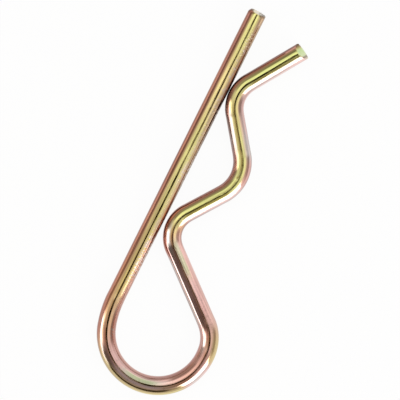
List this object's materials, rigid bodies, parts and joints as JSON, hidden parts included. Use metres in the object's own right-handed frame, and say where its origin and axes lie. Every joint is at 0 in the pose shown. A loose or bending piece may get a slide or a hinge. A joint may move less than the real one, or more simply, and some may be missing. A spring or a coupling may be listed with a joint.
{
  "type": "hitch r clip pin",
  "caption": "Spring wire hitch clip with a straight leg, a waved leg that closes round a shaft and a round pull loop.",
  "frame": {"origin": "where the axis of the shaft that the clip holds crosses the axis of the straight leg, level with the crown of the seat bend", "axes": "+Y along the straight leg towards its tip, +X towards the waved leg, +Z along the shaft's axis, square to the clip's plane"},
  "size_m": [0.0269, 0.0854, 0.0042],
  "materials": {
    "plated_wire": "bright yellow zinc plating with green and pink iridescence over drawn steel wire"
  },
  "bodies": {
    "root": {"clip_wire": "plated_wire"}
  },
  "joints": []
}
